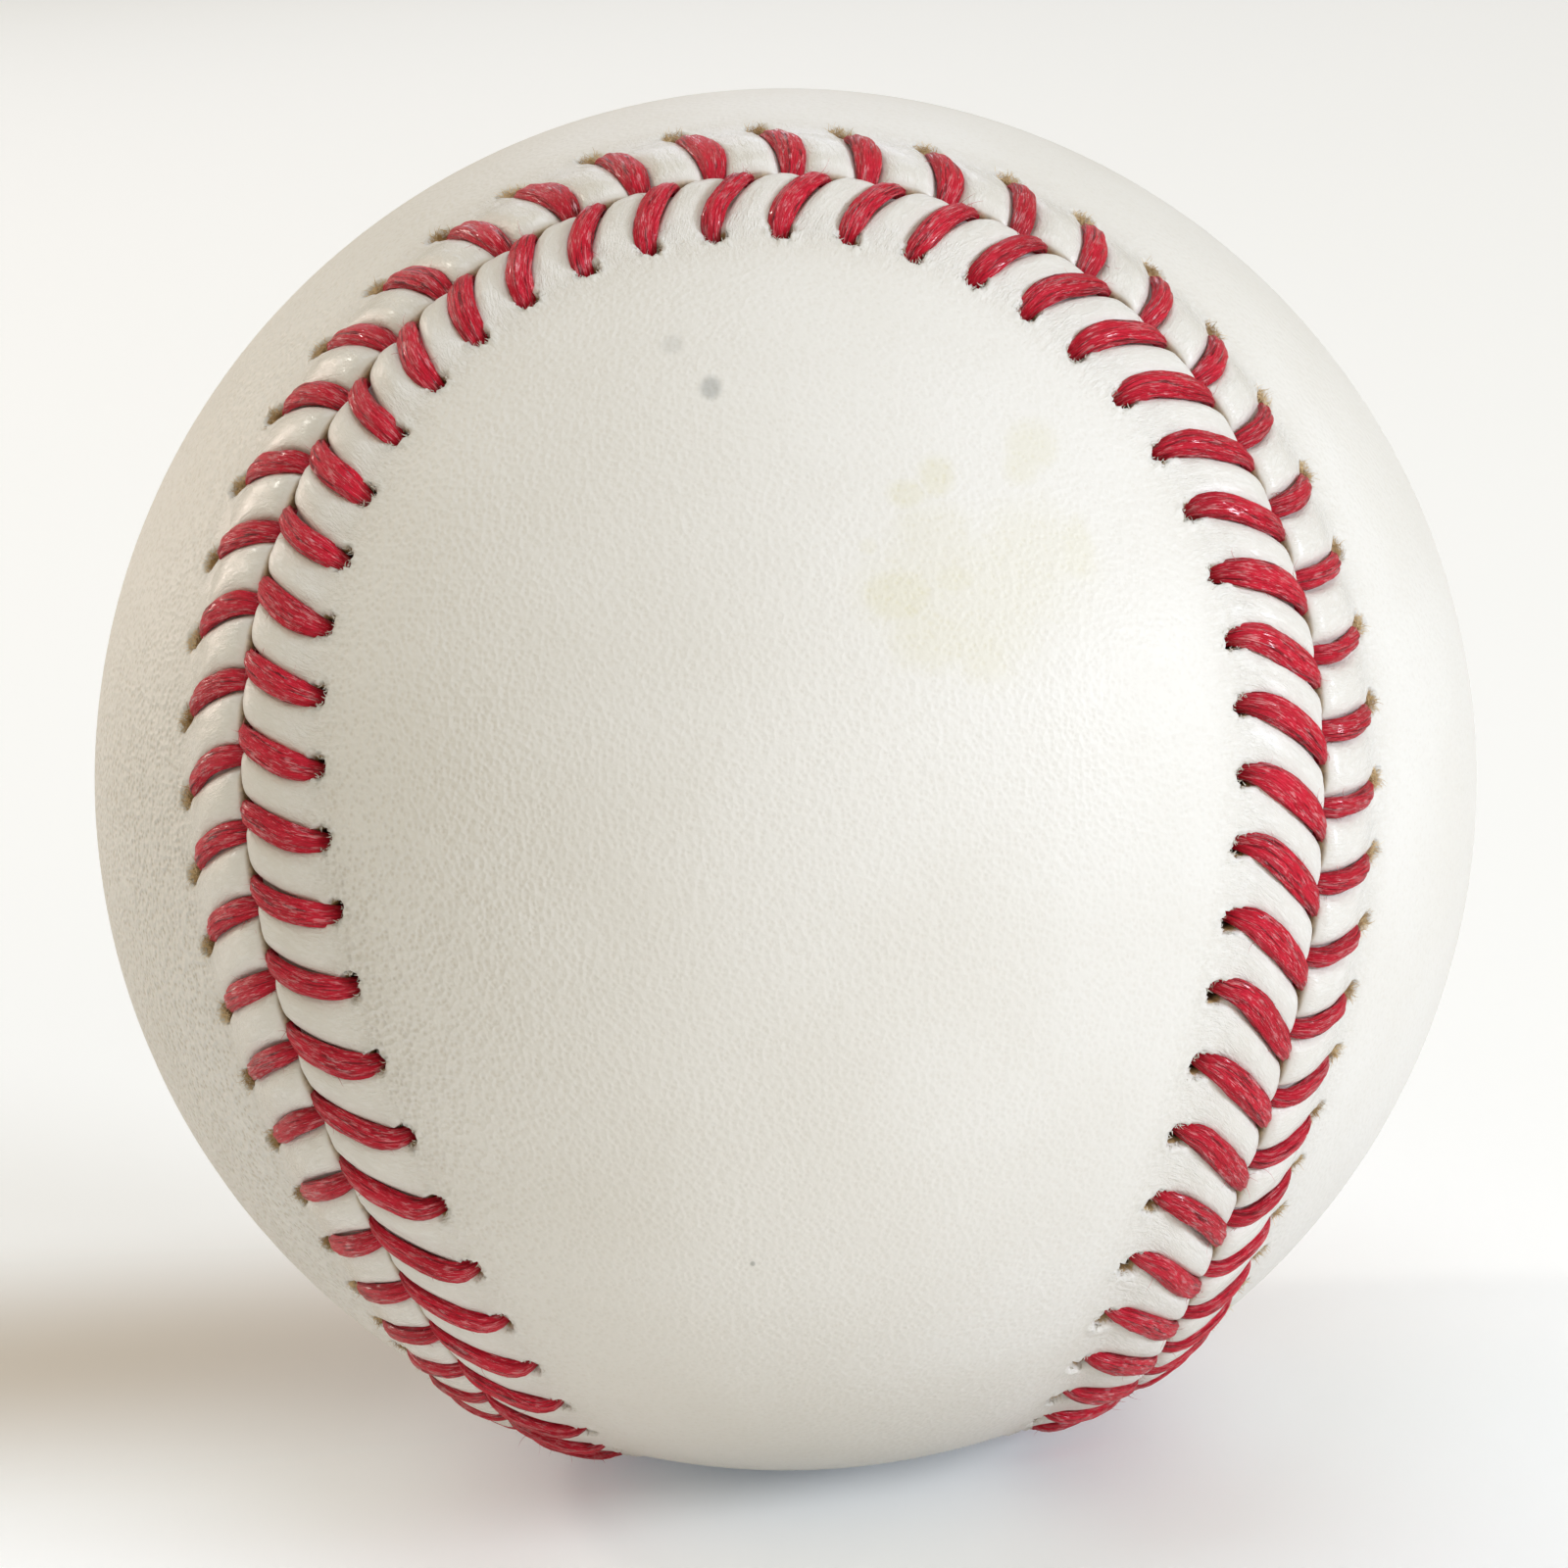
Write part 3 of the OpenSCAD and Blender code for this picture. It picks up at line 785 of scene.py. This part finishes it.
# %% Follow one strand round the ball
def strand_path(start_side, seed):
    """Centres, frames and half sizes of a strand's sections, in millimetres."""
    random = np.random.default_rng(seed)
    centres, aheads, sizes = [], [], []
    for stitch in range(STITCHES):
        side = start_side if stitch % 2 == 0 else -start_side
        leg = np.array(front_leg if side == FRONT else side_leg)
        offset, lift, wide, thick = leg.T
        middle = np.sin(np.pi * np.clip(offset / HOLE_OFFSET, 0, 1))
        sway = random.normal(0, SWAY) * middle + random.normal(0, SNAKE) * np.sin(offset * 1.2)
        lift = lift + random.normal(0, LIFT_SPREAD) * middle * (lift > 0.1)
        pull = np.interp(stitch, hand[side]["stitch"], hand[side]["width"], period=STITCHES)
        wide = wide * (1 + (pull - 1 + random.normal(0, WIDTH_SPREAD)) * middle)
        legs = laid(side, stitch * PITCH + sway, offset)
        other = front_leg if side == SIDE else side_leg
        hole = laid(-side, np.array([(stitch + 1) * PITCH]), other[0][0])
        under = unit(legs[-1] * [[0.65], [0.3]] + hole * [[0.35], [0.7]])
        lift = np.append(lift, [UNDER, UNDER])
        centres.append(np.concatenate([legs, under]) * (BALL_R + lift)[:, None])
        aheads.append(seam_frame(stitch + np.append(slant(side, offset) / PITCH, [0.8, 0.9]))[1])
        wide, thick = np.append(wide, [UNDER_WIDE] * 2), np.append(thick, [UNDER_THICK] * 2)
        sizes.append(np.stack([wide, thick], 1))
    centres, aheads, sizes = (np.concatenate(x) for x in (centres, aheads, sizes))
    heading = unit(np.roll(centres, -1, 0) - np.roll(centres, 1, 0))
    across = unit(aheads - heading * (aheads * heading).sum(1, keepdims=True))
    gaps = np.linalg.norm(np.diff(centres, axis=0), axis=1)
    along = np.concatenate([[0], np.cumsum(gaps)])
    return centres, across, np.cross(across, heading), sizes, along


# %% Mix the thread's red
RED = (0.60, 0.003, 0.020, 1)
LIGHT_RED = (0.80, 0.014, 0.055, 1)
GAP_SHADE_RED = (0.10, 0.001, 0.004, 1)
WORN_RED = (0.36, 0.002, 0.012, 1)
WAX_AND_HIGHLIGHT_PINK = (0.90, 0.46, 0.49, 1)
THREAD_BUMP = 0.00028


def thread(name):
    """Red plies with painted shade in the gaps between them, and pale, shiny specks of wax that are
    partly a painted highlight.
    """
    made, wire = material(name)
    fibre = attribute(wire, "fibre", "Vector")
    place = wire.add("ShaderNodeTexCoord", out="Object")
    long_way = fibre.vector("MULTIPLY", fibre, (1.0, 1.0, 0.13))
    strands = wire.noise(long_way, 3.4, 4, 0.7)
    fine = wire.noise(long_way, 15.0, 2, 0.6)
    height = strands * 0.9 + fine * 0.35
    wax_and_highlight = wire.noise(fibre.vector("MULTIPLY", fibre, (1.0, 1.0, 0.45)), 2.6, 4, 0.75)
    wax_and_highlight = (wax_and_highlight + (fine - 0.5) * 0.9).step(0.55, 0.68)
    gap_shade = 1 - strands.step(0.34, 0.48)
    tone = fine.step(0.3, 0.7).blend(RED, LIGHT_RED)
    # Painted shade in the gaps between the plies
    tone = (gap_shade * 0.92).blend(tone, GAP_SHADE_RED)
    patch = wire.noise(place, 150, 2)
    tone = (patch.step(0.42, 0.7) * 0.35).blend(tone, WORN_RED)
    # Pale pink specks: partly the wax's own colour, partly a painted highlight
    tone = (wax_and_highlight * 0.42).blend(tone, WAX_AND_HIGHLIGHT_PINK)
    surface(wire, {
        "Base Color": tone,
        "Roughness": 0.40 - wax_and_highlight * 0.14,
        "Specular IOR Level": 0.3,
        "Coat Weight": wax_and_highlight,
        "Coat Roughness": 0.13,
        "Normal": bump(wire, height, THREAD_BUMP),
    })
    return made


first_red = thread("first_thread")
second_red = thread("second_thread")

# %% [markdown]
# ## Sweeping the thread
# The tree turns the strand's path into a curve, sweeps a ring along it, and then places
# every point itself: so far across, so far up, with ridges for the plies that wind
# slowly round the strand. The path carries the directions and half sizes.

# %% Build the thread's tree
thread_inputs = {"Plies": 7, "Ply depth": 0.09, "Lumps": 0.42}
SIDES = 32
TWIST = 0.09


def swept_thread(name, finish):
    """The tree that sweeps a strand along the path it is given."""
    size = geometry_tree(name, thread_inputs)
    ring = size.add("GeometryNodeCurvePrimitiveCircle", None, {"Resolution": SIDES, "Radius": MM})
    angle = size.add("GeometryNodeInputIndex") * (2 * math.pi / SIDES)
    ring = ring.add("GeometryNodeStoreNamedAttribute", {"data_type": "FLOAT"}, {
        "Geometry": ring, "Name": "around", "Value": angle})
    curve = size.add("GeometryNodeMeshToCurve", None, {"Mesh": size})
    swept = size.add("GeometryNodeCurveToMesh", None, {"Curve": curve, "Profile Curve": ring})
    around, twist = named(size, "around"), named(size, "twist")
    turned = around + twist
    fibre = size.add("ShaderNodeCombineXYZ", None, {
        0: size.math("COSINE", turned), 1: size.math("SINE", turned), 2: named(size, "along")})
    lump = size.noise(fibre.vector("MULTIPLY", fibre, (1.0, 1.0, 0.35)), 1.6, 2, 0.6) - 0.5
    ply = 1 + size.math("COSINE", turned * size.pick("Plies")) * size.pick("Ply depth")
    ply = ply + lump * size.pick("Lumps")
    wide = size.math("COSINE", around) * named(size, "half_wide") * ply
    thick = size.math("SINE", around) * named(size, "half_thick") * ply
    across, up = named(size, "across", "FLOAT_VECTOR"), named(size, "up", "FLOAT_VECTOR")
    centre = named(size, "centre", "FLOAT_VECTOR")
    spot = size.vector("ADD", across.scale(wide), up.scale(thick))
    spot = size.vector("ADD", centre, spot)
    placed = swept.add("GeometryNodeSetPosition", None, {
        "Geometry": swept, "Position": spot.scale(MM)})
    marked = placed.add("GeometryNodeStoreNamedAttribute", {"data_type": "FLOAT_VECTOR"}, {
        "Geometry": placed, "Name": "fibre", "Value": fibre})
    end_tree(marked, finish)
    return size.tree


# %% Sweep both strands
def sew(start_side, seed, tree, name, node):
    """One finished strand in place of its CAD node."""
    centres, across, up, sizes, along = strand_path(start_side, seed)
    edges = [(i, i + 1) for i in range(len(centres) - 1)]
    numbers = {"half_wide": sizes[:, 0], "half_thick": sizes[:, 1], "along": along,
               "twist": along * TWIST}
    vectors = {"centre": centres, "across": across, "up": up}
    base = base_object(name + "_path", centres * MM, edges, [], numbers, vectors)
    strand = grow(base, tree, thread_inputs, name)
    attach(strand, "root")
    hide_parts(node)


sew(FRONT, FIRST_SEED, swept_thread("first_sweep", first_red),
    "first_strand", "first_lacing_strand")
sew(SIDE, SECOND_SEED, swept_thread("second_sweep", second_red),
    "second_strand", "second_lacing_strand")

# %% [markdown]
# ## Fuzz and torn hide
# Cotton sheds fine hairs, and leather that a needle has pierced keeps its torn fibres.
# Both are the same thing to build: a short bent hair, set on many points, each with a
# direction, a length and a bend of its own. One tree serves red fuzz, white flakes at
# the front holes and tan tufts at the side holes.

# %% Build the hairs' tree
def hair_tree(name, sizes, finish):
    """The tree that sets one bent hair on each point it is given."""
    size = geometry_tree(name, sizes)
    rod = size.add("GeometryNodeCurveQuadraticBezier", None, {
        "Resolution": 3, "Start": (0, 0, 0), "Middle": (0, 0, 0.6 * MM), "End": (0.5 * MM, 0, MM)})
    taper = size.add("GeometryNodeSplineParameter")
    radius = (1 - taper * 0.75) * size.pick("Thickness")
    ring = size.add("GeometryNodeCurvePrimitiveCircle", None, {"Resolution": 3, "Radius": MM})
    hair = size.add("GeometryNodeCurveToMesh", None, {
        "Curve": rod, "Profile Curve": ring, "Scale": radius, "Fill Caps": True})
    turn = size.add("FunctionNodeAlignRotationToVector", {"axis": "Z"}, {
        "Vector": named(size, "grow", "FLOAT_VECTOR")})
    spin = size.add("FunctionNodeAxisAngleToRotation", None, {
        "Axis": (0, 0, 1), "Angle": named(size, "spin")})
    turn = size.add("FunctionNodeRotateRotation", {"rotation_space": "LOCAL"}, {
        "Rotation": turn, "Rotate By": spin})
    long = named(size, "long") * size.pick("Length")
    stretch = size.add("ShaderNodeCombineXYZ", None, {
        0: size.pick("Bend") * long, 1: 1.0, 2: long})
    placed = size.add("GeometryNodeInstanceOnPoints", None, {
        "Points": size, "Instance": hair, "Rotation": turn, "Scale": stretch})
    end_tree(placed, finish)
    return size.tree


def hairs(name, points, grow_dirs, lengths, sizes, finish, slot, seed):
    """One piece of many hairs, growing from given points in millimetres."""
    random = np.random.default_rng(seed)
    numbers = {"long": lengths, "spin": random.uniform(0, 2 * np.pi, len(points))}
    base = base_object(name + "_points", points * MM, [], [], numbers, {"grow": grow_dirs})
    piece = grow(base, hair_tree(name + "_tree", sizes, finish), sizes, name)
    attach(piece, "root")


# %% Mix the finishes of the hairs
def hair_finish(name, dark, light, rough):
    """A two-tone finish for loose fibres."""
    made, wire = material(name)
    place = wire.add("ShaderNodeTexCoord", out="Object")
    tone = wire.noise(place, 700, 2).step(0.35, 0.65).blend((*dark, 1), (*light, 1))
    surface(wire, {"Base Color": tone, "Roughness": rough})
    return made


red_fuzz = hair_finish("red_fuzz", (0.40, 0.02, 0.04), (0.70, 0.22, 0.24), 0.6)
white_flakes = hair_finish("white_flakes", (0.62, 0.58, 0.50), (0.85, 0.83, 0.77), 0.7)
tan_tufts = hair_finish("tan_tufts", (0.50, 0.33, 0.14), (0.88, 0.70, 0.42), 0.8)

# %% Grow red fuzz on the thread
FUZZ_HAIRS = 1500
SEEN_FROM = 0.15
GROOVE_SECTIONS = range(12, 17)
GROOVE_WEIGHT = 4.0


def thread_fuzz(start_side, seed):
    """Points on a strand, more of them by the groove, with directions and lengths."""
    count = FUZZ_HAIRS
    centres, across, up, sizes, _ = strand_path(start_side, seed)
    random = np.random.default_rng(seed + 100)
    visible = np.flatnonzero(np.linalg.norm(centres, axis=1) > BALL_R + SEEN_FROM)
    by_groove = np.isin(visible % (len(front_leg) + 2), GROOVE_SECTIONS)
    weight = np.where(by_groove, GROOVE_WEIGHT, 1.0)
    at = random.choice(visible, count, p=weight / weight.sum())
    angle = random.uniform(-0.3, np.pi + 0.3, count)
    around = across[at] * np.cos(angle)[:, None] + up[at] * np.sin(angle)[:, None]
    surface_at = (centres[at] + across[at] * (np.cos(angle) * sizes[at, 0] * 0.95)[:, None]
                  + up[at] * (np.sin(angle) * sizes[at, 1] * 0.95)[:, None])
    ahead = np.cross(up[at], across[at]) * random.choice([-1, 1], count)[:, None]
    outward = around * random.uniform(0.2, 1.0, (count, 1))
    onward = ahead * random.uniform(0.3, 1.4, (count, 1))
    return surface_at, unit(outward + onward), random.lognormal(-0.4, 0.5, count)


fuzz = [thread_fuzz(FRONT, FIRST_SEED), thread_fuzz(SIDE, SECOND_SEED)]
fuzz_points, fuzz_dirs, fuzz_lengths = (np.concatenate(x) for x in zip(*fuzz))
hairs("thread_fuzz", fuzz_points, fuzz_dirs, np.clip(fuzz_lengths, 0.2, 1.6),
      {"Thickness": 0.016, "Length": 0.55, "Bend": 1.3}, red_fuzz, "red_thread", 1)


# %% Grow torn fibres at the holes
ROOT_DEPTH = 0.08


def torn_holes(side, sizes, count, nearest, farthest, loose, seed):
    """Points in a ring round each hole of one panel, with directions that lean outward."""
    random = np.random.default_rng(seed)
    stitch = np.repeat(np.arange(STITCHES), count)
    angle = random.uniform(-1.9, 1.9, len(stitch))
    ring = random.uniform(nearest, farthest, len(stitch))
    offset = sizes["Hole centre"] + np.cos(angle) * ring * sizes["Hole half width"]
    lead = sizes["Hole lead"] * np.clip(offset - 4, 0, None)
    place = stitch * PITCH + lead + np.sin(angle) * ring * sizes["Hole half length"]
    out = laid(side, place, offset)
    middle = laid(side, stitch * PITCH + lead, np.full(len(stitch), sizes["Hole centre"]))
    away = unit(out - middle) * random.uniform(-1.0, 1.0, (len(out), 1))
    any_way = random.normal(0, loose, (len(out), 3))
    grow_dirs = unit(out * random.uniform(0, 0.8, (len(out), 1)) + away + any_way)
    return out * (BALL_R - ROOT_DEPTH), grow_dirs, random.uniform(0.3, 1.0, len(out))


hairs("front_flakes", *torn_holes(FRONT, front_edge, 60, 0.9, 1.45, 0.5, 41),
      {"Thickness": 0.05, "Length": 0.26, "Bend": 1.5}, white_flakes, "front_leather", 2)
hairs("side_tufts", *torn_holes(SIDE, side_edge, 88, 0.15, 1.1, 0.6, 42),
      {"Thickness": 0.024, "Length": 0.42, "Bend": 1.8}, tan_tufts, "side_leather", 3)

# %% [markdown]
# ## Hidden layers
# The core and the windings keep their CAD solids. Nobody sees them until the cover
# comes off, but each gets its own finish: cork, rubber, and yarn wound in all
# directions.

# %% Finish the hidden layers
PLAIN_BUMP = 0.0001


def plain(name, dark, light, scale, rough, stretch=(1, 1, 1)):
    """A two-tone finish with a bump, for rubber, cork or yarn."""
    made, wire = material(name)
    place = wire.add("ShaderNodeTexCoord", out="Object")
    spread = place.vector("MULTIPLY", place, stretch)
    cells = wire.noise(spread, scale, 4, 0.6)
    tone = cells.step(0.35, 0.65).blend((*dark, 1), (*light, 1))
    surface(wire, {
        "Base Color": tone, "Roughness": rough, "Normal": bump(wire, cells, PLAIN_BUMP)})
    return made


hidden = {
    "cork_core": ("cork", (0.20, 0.10, 0.05), (0.45, 0.28, 0.15), 900, 0.8),
    "lower_half_shell": ("black_rubber", (0.010, 0.010, 0.011), (0.02, 0.02, 0.021), 1500, 0.55),
    "shell_gasket": ("red_rubber", (0.30, 0.03, 0.02), (0.42, 0.05, 0.035), 1500, 0.5),
    "first_winding": ("grey_wool", (0.22, 0.22, 0.22), (0.42, 0.41, 0.40), 300, 0.9, (1, 9, 3)),
    "second_winding": ("white_wool", (0.66, 0.64, 0.58), (0.84, 0.82, 0.77), 300, 0.9, (7, 1, 2)),
    "finish_winding": ("cotton_yarn", (0.70, 0.68, 0.62), (0.88, 0.87, 0.83), 700, 0.8, (2, 1, 9)),
}
finishes = {node: plain(*row) for node, row in hidden.items()}
same_finish = {
    "upper_half_shell": "lower_half_shell", "rubber_jacket": "shell_gasket",
    "third_winding": "first_winding",
}
finishes.update({node: finishes[like] for node, like in same_finish.items()})
for node, finish in finishes.items():
    for slot in bpy.data.objects[node].material_slots:
        slot.material = finish
print("Finished", len(finishes), "hidden layers")

# %% [markdown]
# ## Floor and light
# The ball stands on white cloth in soft light. A plain pale floor stands in for it, with
# a faint glow that only the camera sees and a painted shadow of the ball at the left: a
# soft darker patch in the floor's colour that deepens the lamps' shadow there. Round
# lamps stand for the windows of a room: the key low at the right, others at the left, in
# front, behind and above, and a small one for the glints on the pillows. Warm light from
# all round fills their shadows.

# %% Lay the floor
FLOOR_TONE = (0.92, 0.925, 0.92, 1)
FLOOR_GLOW = (0.13, 0.15, 0.175, 1)
# The colour, centre and spread of the painted shadow of the ball on the floor
FLOOR_PAINTED_SHADOW = (0.50, 0.41, 0.28, 1)
PAINTED_SHADOW_AT = (-0.045, 0.023, 0.0)
PAINTED_SHADOW_SPREAD = (1 / 0.054, 1 / 0.021, 0.0)
ground = -BALL_R * MM
floor_corners = [(-6, -3, ground), (6, -3, ground), (6, 9, ground), (-6, 9, ground)]
floor_mesh = bpy.data.meshes.new("floor")
floor_mesh.from_pydata(floor_corners, [], [(0, 1, 2, 3)])
floor = bpy.data.objects.new("floor", floor_mesh)
bpy.context.scene.collection.objects.link(floor)
floor_finish, wire = material("floor")
seen = wire.add("ShaderNodeLightPath").pick("Is Camera Ray")
# A soft patch of painted shadow darkens the floor's colour at the left
from_painted_shadow = wire.add("ShaderNodeTexCoord", out="Object")
from_painted_shadow = from_painted_shadow.vector("SUBTRACT", from_painted_shadow, PAINTED_SHADOW_AT)
from_painted_shadow = from_painted_shadow.vector("MULTIPLY", from_painted_shadow, PAINTED_SHADOW_SPREAD)
painted_shadow = 1 - from_painted_shadow.vector("LENGTH", from_painted_shadow, out=1).step(0.0, 1.4)
surface(wire, {
    "Base Color": (painted_shadow * 0.95).blend(FLOOR_TONE, FLOOR_PAINTED_SHADOW),
    "Roughness": 0.9,
    "Specular IOR Level": 0.1,
    "Emission Color": seen.blend((0, 0, 0, 1), FLOOR_GLOW),
    "Emission Strength": 1.0,
})
floor_mesh.materials.append(floor_finish)

# %% Light the ball
world = bpy.data.worlds.new("room")
bpy.context.scene.world = world
world.use_nodes = True
background = world.node_tree.nodes["Background"]
background.inputs["Color"].default_value = (1.0, 0.885, 0.62, 1)
background.inputs["Strength"].default_value = 0.42


def lamp(name, place, size, power, colour):
    """A round lamp that faces the ball."""
    data = bpy.data.lights.new(name, "AREA")
    data.shape = "DISK"
    data.size = size
    data.energy = power
    data.color = colour
    thing = bpy.data.objects.new(name, data)
    thing.location = place
    thing.rotation_euler = (-Vector(place)).to_track_quat("-Z", "Y").to_euler()
    bpy.context.scene.collection.objects.link(thing)


lamp("key", (0.87, -0.50, 0.29), 0.34, 6.3, (0.80, 0.87, 1.0))
lamp("window", (-0.95, 0.70, 0.31), 0.5, 2.6, (1.0, 0.82, 0.74))
lamp("top", (0.0, -0.10, 1.20), 0.8, 3.6, (0.76, 0.84, 1.0))
lamp("front", (0.50, -1.18, 0.50), 0.8, 2.2, (0.97, 0.95, 0.90))
lamp("back", (0.0, 1.05, 0.62), 0.7, 1.5, (0.74, 0.80, 1.0))
lamp("glint", (-0.86, 0.40, 0.74), 0.12, 1.8, (1.0, 0.95, 0.88))
bpy.context.scene.view_settings.view_transform = "Standard"
